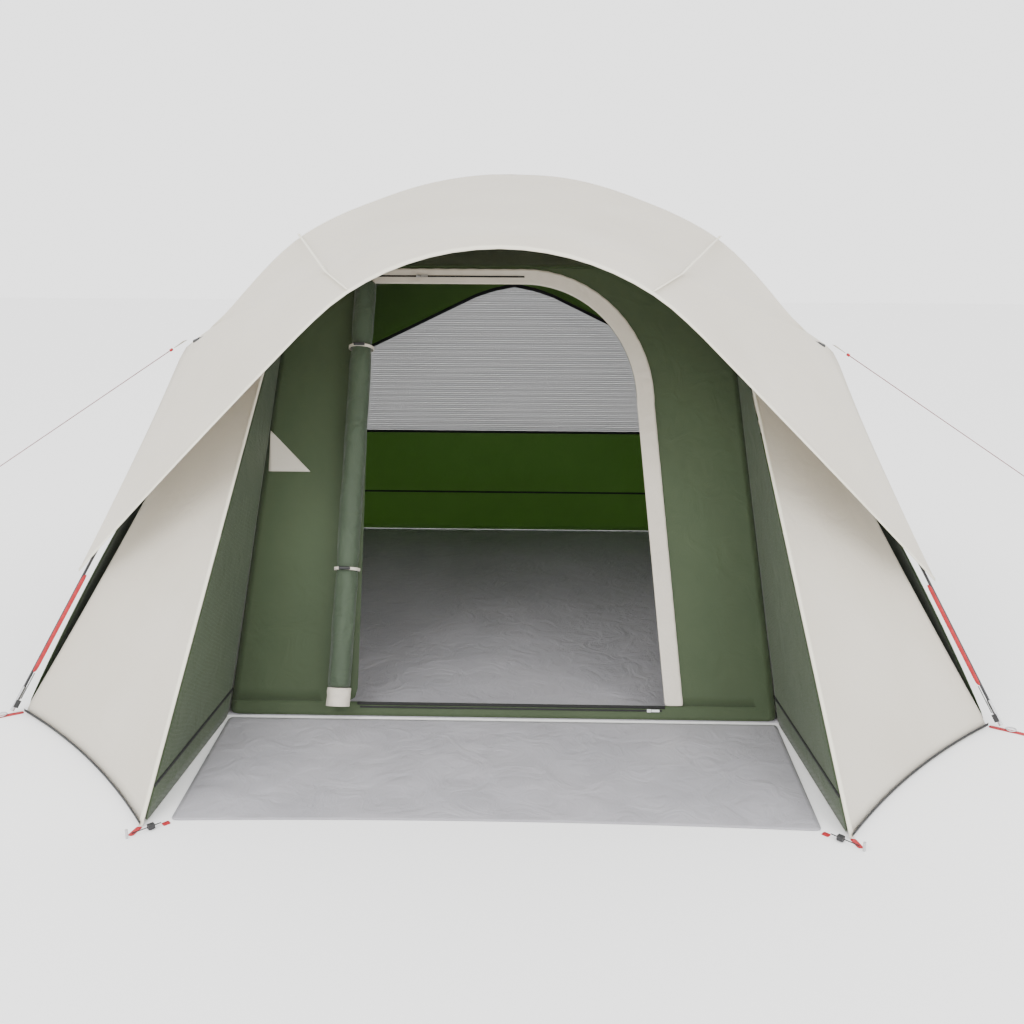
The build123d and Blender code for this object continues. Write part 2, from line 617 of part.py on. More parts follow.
def zip_slider(x, z, low):
    """A slider with a bridge over its back."""
    body = wall_box(x, z, 14.0, 10.0, low, low + 3.2)
    bridge = wall_box(x, z, 14.0, 2.0, low + 5.4, low + 6.8)
    posts = [wall_box(x + s * 6.2, z, 1.6, 2.0, low + 3.2, low + 5.4) for s in (-1, 1)]
    return body + posts[0] + posts[1] + bridge


def zip_pull(x, z, low):
    """A tab on a fork, pinned under the slider's bridge."""
    height = low + 4.3
    cos_lean = UP_WALL.Z
    pin_a, pin_b = (on_wall(x, z, height) + UP_WALL * s * 3.0 for s in (-1, 1))
    pin = rod_along(tuple(pin_a), tuple(pin_b), 0.7)
    arms = [wall_box(x + 4.6, z + s * 2.3 * cos_lean, 10.6, 1.2, height - 0.7, height + 0.7) for s in (-1, 1)]
    tab = wall_box(x + 22.0, z, 26.0, 8.0, height - 0.7, height + 0.7)
    return pin + arms[0] + arms[1] + tab


ZIP_PLACES = {"sill": (505.0, SILL_ZIP_Z, 2.8), "top": (-330.0, TOP_ZIP_Z, 5.2)}
for name, (x, z, low) in ZIP_PLACES.items():
    save(f"zip_slider_{name}", zip_slider(x, z, low))
    save(f"zip_pull_{name}", zip_pull(x, z, low))

flap_right, flap_top = FLAP_LEFT + FLAP_WIDTH, FLAP_LOW + FLAP_TALL
save("cable_flap", wall_patch([(FLAP_LEFT, FLAP_LOW), (flap_right, FLAP_LOW), (FLAP_LEFT, flap_top)]))

# ---- porch mat, its cords and locks, and the wing pegs ----------------------------------------
save("porch_mat", prism([(-MAT_FRONT_X, -MAT_FRONT_Y, 0), (MAT_FRONT_X, -MAT_FRONT_Y, 0),
                         (MAT_BACK_X, -MAT_BACK_Y, 0), (-MAT_BACK_X, -MAT_BACK_Y, 0)], (0, 0, FABRIC)))
mat_tabs, peg_loops, peg_tips = [], [], []
for name, side in (("left", -1), ("right", 1)):
    corner = Vector(side * (MAT_FRONT_X - 8), -(MAT_FRONT_Y + 2), 0)
    peg = Vector(side * (WING_TIP_X + 14), -(WING_TIP_Y + 58), 0)
    along = Vector(peg.X - corner.X, peg.Y - corner.Y, 0).normalized()
    aside = Vector(-along.Y, along.X, 0)
    mat_tabs.append(strip(tuple(corner + along * 9 + Vector(0, 0, WEB / 2)),
                          tuple(corner + along * 30 + Vector(0, 0, WEB / 2)),
                          tuple(aside), 18.0, WEB))
    cord_low, cord_high = corner + along * 33 + Vector(0, 0, 9), peg - along * 14 + Vector(0, 0, 9)
    save(f"mat_cord_{name}", rod_along(tuple(cord_low), tuple(cord_high), CORD_R))
    lock_at = corner + along * 62 + Vector(0, 0, 9)
    lock = Solid.make_box(18.0, 15.0, 13.0,
                          Plane(origin=lock_at - along * 9 - aside * 7.5 - Vector(0, 0, 6.5),
                                                  x_dir=along, z_dir=(0, 0, 1)))
    lock -= rod_along(tuple(lock_at - along * 20), tuple(lock_at + along * 20), CORD_R + 0.5)
    save(f"cord_lock_{name}", lock)
    tip = Vector(side * WING_TIP_X, -(WING_TIP_Y + 3), WEB / 2)
    peg_loops.append(strip(tuple(tip), tuple(tip + Vector(side * 10, -44, 0)), (1, 0, 0), 16.0, WEB))
    peg_tips.append(rod_along((peg.X, peg.Y, 0), (peg.X, peg.Y, 26.0), 4.0))
save("mat_tabs", *mat_tabs)
save("peg_loops", *peg_loops)
save("peg_tops", *peg_tips)
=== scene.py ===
"""A dome tent on poles, pitched: cloth, netting, webbing, cords, light and camera."""

from math import cos, hypot, pi, radians, sin, tan

import bmesh
import bpy
from mathutils import Matrix, Vector, noise


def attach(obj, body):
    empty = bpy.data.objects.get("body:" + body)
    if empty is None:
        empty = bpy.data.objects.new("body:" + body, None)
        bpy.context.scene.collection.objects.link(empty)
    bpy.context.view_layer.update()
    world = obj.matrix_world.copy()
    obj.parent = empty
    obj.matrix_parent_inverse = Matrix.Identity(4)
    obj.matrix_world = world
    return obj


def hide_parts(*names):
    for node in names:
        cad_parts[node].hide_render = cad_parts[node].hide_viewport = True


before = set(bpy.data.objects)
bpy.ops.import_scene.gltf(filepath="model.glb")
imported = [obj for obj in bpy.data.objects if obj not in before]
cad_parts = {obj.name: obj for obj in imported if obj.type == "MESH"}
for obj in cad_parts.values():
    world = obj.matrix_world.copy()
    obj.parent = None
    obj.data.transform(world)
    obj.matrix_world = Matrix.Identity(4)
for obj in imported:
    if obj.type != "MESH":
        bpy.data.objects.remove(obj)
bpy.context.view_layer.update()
bpy.ops.object.select_all(action="DESELECT")

# ---- the tent's own dimensions, in metres ---------------------------------------------------------
HALF_X, HALF_Y = 1.7, 1.23
SPAN = hypot(HALF_X, HALF_Y)
DIAG_X, DIAG_Y = HALF_X / SPAN, HALF_Y / SPAN
LEG_ANGLE, SHOULDER_ANGLE, LEG_RUN, CROWN_HEIGHT = radians(58), radians(24), 0.66, 1.837
BROW_TOP, BROW_SLOPE = (0.0, -1.43, 1.58), radians(25.5)
BROW_RADIUS, BROW_TURN, BROW_STRAIGHT = 0.656, radians(42.2), 0.94
OVER_POLE = 0.022
KINK_ALONG = 1.974
BROW_CROSSING, MAIN_CROSSING, CORNER_ALONG = 0.101, 1.47, 0.545
GUY_POINT = (1.188, -0.648, 1.231)
HOOD_HEM, BACK_HEM = (-1.53, 1.567), (0.9, 1.42)
FLY_TOP = 1.868
FOOT_X, FOOT_Y = 1.655, 1.215
SHOULDER_X, SHOULDER_Y, SHOULDER_Z = 0.8, 0.58, 1.5
WALL_FOOT_X, ROOF_TOP = 0.945, 1.745
WING_X, WING_Y = 0.985, -1.912
DOOR_LEFT, DOOR_RIGHT, DOOR_SPRING_X = -0.5, 0.56, 0.47
SILL, SPRING, DOOR_TOP, ARCH_END = 0.048, 1.03, 1.44, 0.06
BINDING = 0.062
WALL_LEAN = (FOOT_Y - SHOULDER_Y) / SHOULDER_Z
OUT = Vector((0, -1, WALL_LEAN)).normalized()
UP_WALL = OUT.cross(Vector((1, 0, 0)))
GUY_ANGLE = radians(32.7)
KNEE_Z, KNEE_X = 1.055, 1.12
GATHER_RISE, GATHER_PITCH = 0.0018, 0.056
FLY_STRAP_WIDTH = 0.015
MAT_FRONT_X, MAT_BACK_X, MAT_DEPTH, MAT_DIP = 0.912, 0.935, 0.644, 0.022


# ---- pole lines -----------------------------------------------------------------------------------
def run_point(runs, along):
    """(across, up) and heading at a distance along straight runs and arcs in one plane."""
    (u, v), heading = runs[0], runs[1]
    for length, radius in runs[2]:
        step = min(along, length)
        if radius is None:
            u, v = u + step * cos(heading), v + step * sin(heading)
        else:
            turned = heading - step / radius
            u += radius * (sin(heading) - sin(turned))
            v += radius * (cos(turned) - cos(heading))
            heading = turned
        along -= step
        if along <= 1e-9:
            break
    return u, v, heading


def main_runs():
    knee = LEG_RUN * tan(LEG_ANGLE)
    rise = (cos(SHOULDER_ANGLE) - cos(LEG_ANGLE)) / (sin(LEG_ANGLE) - sin(SHOULDER_ANGLE))
    crown = tan(SHOULDER_ANGLE / 2)
    bend_end = (CROWN_HEIGHT - crown * SPAN - knee + rise * LEG_RUN) / (rise - crown)
    bend = (bend_end - LEG_RUN) / (sin(LEG_ANGLE) - sin(SHOULDER_ANGLE))
    roof = (SPAN - bend_end) / sin(SHOULDER_ANGLE)
    runs = [
        (LEG_RUN / cos(LEG_ANGLE), None),
        (bend * (LEG_ANGLE - SHOULDER_ANGLE), bend),
        (roof * SHOULDER_ANGLE, roof),
    ]
    return (0.0, 0.0), LEG_ANGLE, runs


def brow_runs():
    u = -BROW_RADIUS * sin(BROW_TURN) - BROW_STRAIGHT * cos(BROW_TURN)
    v = BROW_RADIUS * cos(BROW_TURN) - BROW_STRAIGHT * sin(BROW_TURN)
    runs = [(BROW_STRAIGHT, None), (BROW_RADIUS * BROW_TURN, BROW_RADIUS)]
    return (u, v), BROW_TURN, runs


MAIN, BROW = main_runs(), brow_runs()
HALF_MAIN, HALF_BROW = sum(r[0] for r in MAIN[2]), sum(r[0] for r in BROW[2])


def over_main(along, sx, sy):
    """The cloth's place over a main pole."""
    u, v, heading = run_point(MAIN, along)
    u, v = u - OVER_POLE * sin(heading), v + OVER_POLE * cos(heading)
    peak = 0.026 * max(0.0, 1 - abs(along - KINK_ALONG) / 0.38) if sy < 0 else 0.0
    u, v = u - peak * sin(heading), v + peak * cos(heading)
    point = Vector((sx * (HALF_X - u * DIAG_X), sy * (HALF_Y - u * DIAG_Y), v))
    point.z += (FLY_TOP - CROWN_HEIGHT - OVER_POLE) * max(0, (along / HALF_MAIN - 0.7) / 0.3)
    return point


def over_brow(along, side):
    """The cloth's place over the brow pole."""
    u, v, heading = run_point(BROW, along)
    lift = OVER_POLE * sin(pi / 4)
    u, v = u - lift * sin(heading), v + lift * cos(heading)
    back = BROW_RADIUS - v
    x, y, z = BROW_TOP
    y, z = y + back * cos(BROW_SLOPE), z - back * sin(BROW_SLOPE)
    return Vector((-side * (x + u), y + lift * sin(BROW_SLOPE), z + lift * cos(BROW_SLOPE)))


def corner_point(sx, sy):
    return over_main(CORNER_ALONG, sx, sy)


def hem(x, line):
    """A point on a flysheet hem: an arc over the middle, then straight to the corners."""
    y0, z0 = line
    corner = corner_point(1, 1)
    radius, angle = 0.8, radians(43.8)

    def drop(at):
        turn = radius * sin(angle)
        return radius - (radius**2 - min(at, turn) ** 2) ** 0.5 + max(0.0, at - turn) * tan(angle)

    share = abs(x) / corner.x
    y_end = corner.y if y0 > 0 else -corner.y
    return Vector((x, y0 + (y_end - y0) * share**2, z0 - (z0 - corner.z) * drop(abs(x)) / drop(corner.x)))


def along_line(points, share):
    """A point at a share of the length of a line of points."""
    lengths = [(b - a).length for a, b in zip(points, points[1:])]
    left = share * sum(lengths)
    for a, b, length in zip(points, points[1:], lengths):
        if left <= length:
            return a.lerp(b, left / length if length else 0.0)
        left -= length
    return points[-1]


# ---- building cloth -------------------------------------------------------------------------------
def mesh_object(name, vertices, faces):
    mesh = bpy.data.meshes.new(name)
    mesh.from_pydata([tuple(v) for v in vertices], [], faces)
    obj = bpy.data.objects.new(name, mesh)
    bpy.context.scene.collection.objects.link(obj)
    return obj


def apply_modifier(obj, kind, **settings):
    modifier = obj.modifiers.new(kind.title(), kind)
    for key, value in settings.items():
        setattr(modifier, key, value)
    with bpy.context.temp_override(object=obj, active_object=obj, selected_objects=[obj]):
        bpy.ops.object.modifier_apply(modifier=modifier.name)


def cloth(name, grids, thick=0.0012, wrinkle=0.0, scale=6.0, smooth=1, merge=0.0004, folds=()):
    """One sheet from one or more grids that share their edges, with soft wrinkles."""
    vertices, faces = [], []
    for grid in grids:
        start, width = len(vertices), len(grid[0])
        vertices += [p for row in grid for p in row]
        for j in range(len(grid) - 1):
            for i in range(width - 1):
                a = start + j * width + i
                faces.append((a, a + 1, a + 1 + width, a + width))
    obj = mesh_object(name, vertices, faces)
    work = bmesh.new()
    work.from_mesh(obj.data)
    bmesh.ops.remove_doubles(work, verts=work.verts, dist=merge)
    bmesh.ops.dissolve_degenerate(work, edges=work.edges, dist=1e-5)
    bmesh.ops.recalc_face_normals(work, faces=work.faces)
    work.normal_update()
    places = {v: v.co.copy() for v in work.verts}
    if wrinkle:
        moves = {}
        for v in work.verts:
            inner = 0.0 if v.is_boundary else 1.0
            value = noise.noise(v.co * scale) + 0.5 * noise.noise(v.co * scale * 2.3)
            moves[v] = v.normal * (wrinkle * value * inner)
        for v, move in moves.items():
            v.co += move
    crease = work.edges.layers.float.new("crease_edge")
    for line, amount in folds:
        spots = {tuple(round(c, 3) for c in p) for p in line}
        for edge in work.edges:
            if all(tuple(round(c, 3) for c in places[v]) in spots for v in edge.verts):
                edge[crease] = amount
                edge.smooth = False
    work.to_mesh(obj.data)
    work.free()
    if smooth:
        apply_modifier(obj, "SUBSURF", levels=smooth, render_levels=smooth)
    if thick:
        apply_modifier(obj, "SOLIDIFY", thickness=thick, offset=0.0)
    for polygon in obj.data.polygons:
        polygon.use_smooth = True
    return obj


def lengths_of(points):
    return sum((b - a).length for a, b in zip(points, points[1:]))


def lay_sheet(obj, body="tent", replaces=()):
    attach(obj, body)
    if replaces:
        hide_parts(*replaces)
    return obj


def ribbon(name, points, across, width, thick=0.0014, steps=10):
    """A webbing strap or tape along a line of points."""
    half = Vector(across).normalized() * (width / 2)
    line = [along_line(points, i / steps) for i in range(steps + 1)]
    grid = [[p - half for p in line], line, [p + half for p in line]]
    obj = cloth(name, [grid], thick=thick, smooth=1)
    return obj, (width, lengths_of(points))


# ---- materials ------------------------------------------------------------------------------------
def node_material(name):
    material = bpy.data.materials.new(name)
    material.use_nodes = True
    nodes, links = material.node_tree.nodes, material.node_tree.links
    return material, nodes, links, nodes["Principled BSDF"]


def bump_chain(nodes, links, heights):
    """Adds several heights, each (socket, distance), into one normal."""
    normal = None
    for socket, distance in heights:
        bump = nodes.new("ShaderNodeBump")
        bump.inputs["Distance"].default_value = distance
        links.new(socket, bump.inputs["Height"])
        if normal:
            links.new(normal, bump.inputs["Normal"])
        normal = bump.outputs[0]
    return normal


def weave_height(nodes, links, count):
    coords = nodes.new("ShaderNodeTexCoord")
    waves = []
    for direction in ("X", "Z"):
        wave = nodes.new("ShaderNodeTexWave")
        wave.bands_direction = direction
        wave.inputs["Scale"].default_value = count
        links.new(coords.outputs["Object"], wave.inputs["Vector"])
        waves.append(wave)
    mix = nodes.new("ShaderNodeMath")
    mix.operation = "MULTIPLY"
    links.new(waves[0].outputs["Fac"], mix.inputs[0])
    links.new(waves[1].outputs["Fac"], mix.inputs[1])
    return coords, mix.outputs[0]


def cloth_material(name, light, dark, rough=0.62, sheen=0.15, glow=0.0, crinkle=0.004):
    """Coated tent cloth: fine weave, patches of shade, soft creases and a little light through it."""
    material, nodes, links, shader = node_material(name)
    coords, weave = weave_height(nodes, links, 260)
    patch = nodes.new("ShaderNodeTexNoise")
    patch.inputs["Scale"].default_value = 2.2
    patch.inputs["Detail"].default_value = 5
    links.new(coords.outputs["Object"], patch.inputs["Vector"])
    ramp = nodes.new("ShaderNodeValToRGB")
    ramp.color_ramp.elements[0].color = (*dark, 1)
    ramp.color_ramp.elements[0].position = 0.3
    ramp.color_ramp.elements[1].color = (*light, 1)
    ramp.color_ramp.elements[1].position = 0.7
    links.new(patch.outputs["Fac"], ramp.inputs[0])
    links.new(ramp.outputs[0], shader.inputs["Base Color"])
    crease = nodes.new("ShaderNodeTexNoise")
    crease.inputs["Scale"].default_value = 9
    crease.inputs["Detail"].default_value = 3
    crease.inputs["Distortion"].default_value = 1.4
    links.new(coords.outputs["Object"], crease.inputs["Vector"])
    normal = bump_chain(nodes, links, [(crease.outputs["Fac"], crinkle), (weave, 0.00025)])
    links.new(normal, shader.inputs["Normal"])
    shader.inputs["Roughness"].default_value = rough
    shader.inputs["Sheen Weight"].default_value = sheen
    if glow:
        through = nodes.new("ShaderNodeBsdfTranslucent")
        through.inputs["Color"].default_value = (*light, 1)
        mix = nodes.new("ShaderNodeMixShader")
        mix.inputs[0].default_value = glow
        links.new(shader.outputs[0], mix.inputs[1])
        links.new(through.outputs[0], mix.inputs[2])
        links.new(mix.outputs[0], nodes["Material Output"].inputs["Surface"])
    return material


def netting_material(name):
    """Fine grey netting: threads round small open holes."""
    material, nodes, links, shader = node_material(name)
    coords = nodes.new("ShaderNodeTexCoord")
    cells = nodes.new("ShaderNodeTexVoronoi")
    cells.inputs["Scale"].default_value = 210
    cells.inputs["Randomness"].default_value = 0.0
    links.new(coords.outputs["Object"], cells.inputs["Vector"])
    thread = nodes.new("ShaderNodeMath")
    thread.operation = "GREATER_THAN"
    thread.inputs[1].default_value = 0.30
    links.new(cells.outputs["Distance"], thread.inputs[0])
    shade = nodes.new("ShaderNodeMix")
    shade.data_type = "RGBA"
    shade.inputs[6].default_value = (0.92, 0.92, 0.92, 1)
    shade.inputs[7].default_value = (0.58, 0.58, 0.59, 1)
    links.new(thread.outputs[0], shade.inputs[0])
    links.new(shade.outputs[2], shader.inputs["Base Color"])
    shader.inputs["Roughness"].default_value = 0.8
    opacity = nodes.new("ShaderNodeMapRange")
    opacity.inputs["To Min"].default_value = 0.18
    opacity.inputs["To Max"].default_value = 0.82
    links.new(thread.outputs[0], opacity.inputs["Value"])
    links.new(opacity.outputs[0], shader.inputs["Alpha"])
    return material


def webbing_material(name, color, rough=0.7, pitch=900):
    material, nodes, links, shader = node_material(name)
    coords, weave = weave_height(nodes, links, pitch / 3)
    grain = nodes.new("ShaderNodeTexNoise")
    grain.inputs["Scale"].default_value = 60
    links.new(coords.outputs["Object"], grain.inputs["Vector"])
    ramp = nodes.new("ShaderNodeValToRGB")
    ramp.color_ramp.elements[0].color = (*[c * 0.6 for c in color], 1)
    ramp.color_ramp.elements[1].color = (*[min(1, c * 1.25) for c in color], 1)
    links.new(grain.outputs["Fac"], ramp.inputs[0])
    links.new(ramp.outputs[0], shader.inputs["Base Color"])
    links.new(bump_chain(nodes, links, [(weave, 0.0006)]), shader.inputs["Normal"])
    shader.inputs["Roughness"].default_value = rough
    return material


def hard_material(name, color, metal, rough, grain=40.0):
    material, nodes, links, shader = node_material(name)
    coords = nodes.new("ShaderNodeTexCoord")
    speck = nodes.new("ShaderNodeTexNoise")
    speck.inputs["Scale"].default_value = grain
    speck.inputs["Detail"].default_value = 6
    links.new(coords.outputs["Object"], speck.inputs["Vector"])
    spread = nodes.new("ShaderNodeMapRange")
    spread.inputs["To Min"].default_value = rough * 0.75
    spread.inputs["To Max"].default_value = min(1.0, rough * 1.3)
    links.new(speck.outputs["Fac"], spread.inputs["Value"])
    links.new(spread.outputs[0], shader.inputs["Roughness"])
    ramp = nodes.new("ShaderNodeValToRGB")
    ramp.color_ramp.elements[0].color = (*[c * 0.8 for c in color], 1)
    ramp.color_ramp.elements[1].color = (*color, 1)
    links.new(speck.outputs["Fac"], ramp.inputs[0])
    links.new(ramp.outputs[0], shader.inputs["Base Color"])
    links.new(bump_chain(nodes, links, [(speck.outputs["Fac"], 0.0002)]), shader.inputs["Normal"])
    shader.inputs["Metallic"].default_value = metal
    return material


CREAM = cloth_material("cream_coated_cloth", (0.73, 0.685, 0.59), (0.67, 0.62, 0.52), glow=0.22)
CREAM_TAPE = cloth_material("cream_binding_tape", (0.66, 0.61, 0.52), (0.55, 0.50, 0.42), crinkle=0.006)
PIPING = cloth_material("pale_seam_tape", (0.78, 0.74, 0.62), (0.70, 0.66, 0.54), crinkle=0.001)
GREEN = cloth_material("green_coated_cloth", (0.058, 0.086, 0.036), (0.044, 0.068, 0.027), glow=0.24)
# Painted light: this green is a brighter copy of the wall cloth's green, painted in so the back wall looks
# lit from the front; from outside it reads brighter and yellower than the side walls.
GREEN_BACK_PAINTED_LIGHT = cloth_material("green_back_cloth_painted_light", (0.13, 0.215, 0.065), (0.10, 0.17, 0.05), glow=0.60)
# Painted shade: this green is a darker copy of the wall cloth's green, painted in for the shade inside the
# rolled door's folds.
GREEN_ROLL_PAINTED_SHADE = cloth_material("green_rolled_cloth_painted_shade", (0.044, 0.068, 0.036), (0.022, 0.038, 0.017), crinkle=0.012)
GREY = cloth_material("grey_groundsheet", (0.36, 0.35, 0.375), (0.315, 0.31, 0.335), rough=0.5, crinkle=0.010)
NETTING = netting_material("window_netting")
BLACK_TAPE = webbing_material("black_seam_tape", (0.012, 0.012, 0.012))
RED_WEB = webbing_material("red_webbing", (0.55, 0.02, 0.03))
GUY_BRAID = webbing_material("guy_line_braid", (0.24, 0.03, 0.04), pitch=2400)
BLACK_BRAID = webbing_material("black_elastic_braid", (0.015, 0.015, 0.016), pitch=2400)
FIBREGLASS = hard_material("fibreglass_rod", (0.03, 0.03, 0.033), 0.0, 0.35)
STEEL = hard_material("plated_steel", (0.62, 0.62, 0.63), 1.0, 0.32, 90)
PLASTIC = hard_material("moulded_black_plastic", (0.02, 0.02, 0.021), 0.0, 0.45, 70)


def paint(obj, material):
    obj.data.materials.clear()
    obj.data.materials.append(material)
    return obj


for node_name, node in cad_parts.items():
    if node_name.startswith(("main_pole", "brow_pole")) and "caps" not in node_name:
        finish = FIBREGLASS
    elif node_name.startswith(("pole_ferrules", "foot_", "zip_", "peg_tops")):
        finish = STEEL
    elif node_name.startswith(("cord_lock", "guy_runner")) or node_name in (
            "brow_pole_caps", "tie_toggles", "fly_hooks"):
        finish = PLASTIC
    elif node_name.startswith("guy_knots"):
        finish = RED_WEB
    elif node_name == "tie_loops":
        finish = CREAM_TAPE
    elif node_name == "door_zips":
        finish = BLACK_TAPE
    else:
        continue
    for material_slot in node.material_slots:
        material_slot.material = finish

# ---- camera ---------------------------------------------------------------------------------------
EYE, YAW, PITCH, ROLL = Vector((0.096, -4.366, 1.551)), -0.0205, 0.2532, -0.0055
forward = Vector((sin(YAW) * cos(PITCH), cos(YAW) * cos(PITCH), -sin(PITCH)))
right = Vector((cos(YAW), -sin(YAW), 0))
below = forward.cross(right)
level_right = right * cos(ROLL) + below * sin(ROLL)
level_below = below * cos(ROLL) - right * sin(ROLL)
camera = bpy.data.objects.new("camera", bpy.data.cameras.new("camera"))
bpy.context.scene.collection.objects.link(camera)
camera.data.lens, camera.data.sensor_width, camera.data.sensor_fit = 35.16, 36.0, "HORIZONTAL"
turn = Matrix((level_right, -level_below, -forward)).transposed().to_4x4()
camera.matrix_world = Matrix.Translation(EYE) @ turn
bpy.context.scene.camera = camera


# ---- cords ----------------------------------------------------------------------------------------
def cord_curve(name, points, radius, material):
    data = bpy.data.curves.new(name, "CURVE")
    data.dimensions = "3D"
    data.bevel_depth = radius
    data.bevel_resolution = 4
    data.use_fill_caps = True
    data.resolution_u = 12
    spline = data.splines.new("NURBS")
    spline.points.add(len(points) - 1)
    for spot, p in zip(spline.points, points):
        spot.co = (*p, 1.0)
    spline.order_u = 3
    spline.use_endpoint_u = True
    data.materials.append(material)
    obj = bpy.data.objects.new(name, data)
    bpy.context.scene.collection.objects.link(obj)
    return obj


for name, side in (("left", -1), ("right", 1)):
    along = Vector((side * cos(GUY_ANGLE), 0, -sin(GUY_ANGLE)))
    start = Vector((side * GUY_POINT[0], GUY_POINT[1], GUY_POINT[2])) + Vector((side * 0.006, 0, 0.001))
    back = Vector((0, 0.014, 0))
    root = start + along * 0.058
    route = [root, start + along * 0.6, start + along * 1.188, start + along * 1.217,
             start + along * 1.217 + back, start + along * 1.188 + back, start + along * 0.985 + back]
    line = cord_curve(f"guy_cord_{name}", route, 0.0015, GUY_BRAID)
    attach(line, "tent")
    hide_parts(f"guy_line_{name}")
    mat_corner, peg = Vector((side * 0.904, -1.882, 0)), Vector((side * 0.999, -1.97, 0))
    out = (peg - mat_corner).normalized()
    low, high = mat_corner + out * 0.033, peg - out * 0.014
    low.z = high.z = 0.009
    link = cord_curve(f"mat_elastic_{name}", [low, low.lerp(high, 0.5), high], 0.0015, BLACK_BRAID)
    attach(link, "tent")
    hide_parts(f"mat_cord_{name}")

CORNERS = [(-1, -1), (1, -1), (-1, 1), (1, 1)]
for index, (sx, sy) in enumerate(CORNERS):
    foot = Vector((sx * HALF_X, sy * HALF_Y, 0))
    up = Vector((-sx * DIAG_X * cos(LEG_ANGLE), -sy * DIAG_Y * cos(LEG_ANGLE), sin(LEG_ANGLE)))
    out, aside = Vector((sx * DIAG_X, sy * DIAG_Y, 0)), Vector((-sx * DIAG_Y, sy * DIAG_X, 0))
    beside = aside * 0.017
    for pair, gap in (("a", -0.004), ("b", 0.004)):
        low, high = foot + up * 0.062 + beside + out * gap, foot + up * 0.160 + beside + out * gap
        route = [high, high.lerp(low, 0.5), low]
        link = cord_curve(f"strap_elastic_{index}_{pair}", route, 0.0015, BLACK_BRAID)
        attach(link, "tent")
        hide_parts("fly_elastics")
    strap_line = [foot + up * 0.165 + beside, foot + up * 0.539 + beside]
    strap, grid = ribbon(f"fly_strap_{index}", strap_line, out, FLY_STRAP_WIDTH)
    lay_sheet(paint(strap, RED_WEB), replaces=["fly_straps"])
    body = Vector((sx * (FOOT_X + 0.004), sy * (FOOT_Y + 0.003), 0.0009))
    web, grid = ribbon(f"foot_web_{index}", [body, foot + out * 0.13 + Vector((0, 0, 0.0009))], aside, 0.02)
    lay_sheet(paint(web, RED_WEB), replaces=["corner_webbing"])

# ---- flysheet: one sheet over all three poles -----------------------------------------------------
N = 14


def brow_line(side):
    return [over_brow(BROW_CROSSING + (HALF_BROW - BROW_CROSSING) * i / N, side) for i in range(N + 1)]


def main_line(side, sy):
    line = [over_main(MAIN_CROSSING + (HALF_MAIN - MAIN_CROSSING) * i / N, side, sy) for i in range(N + 1)]
    first = brow_line(side)[0]
    line[0] = Vector((first.x, sy * abs(first.y), first.z))
    line[-1] = Vector((0, 0, FLY_TOP))
    return line


def leg_line(side, sy, steps=6):
    """Down a leg from the crossing to the flysheet's corner."""
    top = main_line(side, sy)[0]
    knee = LEG_RUN / cos(LEG_ANGLE)
    return [top] + [over_main(knee + (CORNER_ALONG - knee) * i / steps, side, sy) for i in range(steps + 1)]


def plain_grid(low, high, rungs, sag=0.0, bow=0.0):
    grid = []
    for j in range(rungs + 1):
        t = j / rungs
        line = []
        for a, b in zip(low, high):
            p = a.lerp(b, t)
            dip = 4 * t * (1 - t)
            p.z -= sag * dip
            outward = Vector((p.x, p.y, 0))
            if outward.length:
                p += outward.normalized() * bow * dip
            line.append(p)
        grid.append(line)
    return grid


def both(half):
    return half(-1) + half(1)[-2::-1]


roof_grid = plain_grid(both(brow_line), both(lambda s: main_line(s, -1)), 16, sag=0.026)
fly_grids = [roof_grid]


def skirt_grid(line, sy, top_line, rungs):
    def half(side):
        return leg_line(side, sy)[::-1] + top_line(side)[1:]

    upper = both(half)
    middle = len(upper) // 2
    corner = abs(upper[0].x)
    lower = [hem(corner * (i - middle) / middle, line) for i in range(len(upper))]
    lower[0], lower[-1] = upper[0].copy(), upper[-1].copy()
    return lower, plain_grid(lower, upper, rungs)


hood_hem_line, hood_grid = skirt_grid(HOOD_HEM, -1, brow_line, 8)
back_hem_line, back_grid = skirt_grid(BACK_HEM, 1, lambda s: main_line(s, 1), 12)
fly_grids += [hood_grid, back_grid]
side_hems = []
for side in (-1, 1):
    front, back = main_line(side, -1), main_line(side, 1)
    side_grid = plain_grid(front, back, 16, sag=0.006)
    fly_grids.append(side_grid)
    guy = Vector((side * GUY_POINT[0], GUY_POINT[1], GUY_POINT[2]))
    leg = leg_line(side, -1)
    last = leg[-1]
    edge = [guy]
    for i in range(1, len(leg)):
        share = i / (len(leg) - 1)
        straight = guy.lerp(last, share)
        edge.append(straight.lerp(leg[i], 0.45 * 4 * share * (1 - share) + share**4))
    fly_grids.append(plain_grid(leg, edge, 1))
    knee = over_main(LEG_RUN / cos(LEG_ANGLE), side, 1)
    lower = [guy, Vector((side * 1.214, -0.25, 1.098)), Vector((side * 1.25, 0.18, 0.972)),
             Vector((side * 1.345, 0.64, 0.77)), corner_point(side, 1)]
    top = [row[0] for row in side_grid]
    middle = [guy.lerp(knee, i / 16) for i in range(17)]
    low = [along_line(lower, i / 16) for i in range(17)]
    fly_grids.append(plain_grid(top, middle, 1) + plain_grid(middle, low, 6)[1:])
    side_hems.append((edge, low))
corner_span = 2 * lengths_of(leg_line(1, -1) + main_line(1, -1)[1:])
crease_lines = [(both(brow_line), 0.9)] + [(leg_line(side, -1), 0.7) for side in (-1, 1)]
fly = paint(cloth("fly_cloth", fly_grids, wrinkle=0.0022, scale=5.0, folds=crease_lines), CREAM)
lay_sheet(fly,
          replaces=["fly_roof", "fly_hood", "fly_back", "fly_side_left", "fly_side_right"])


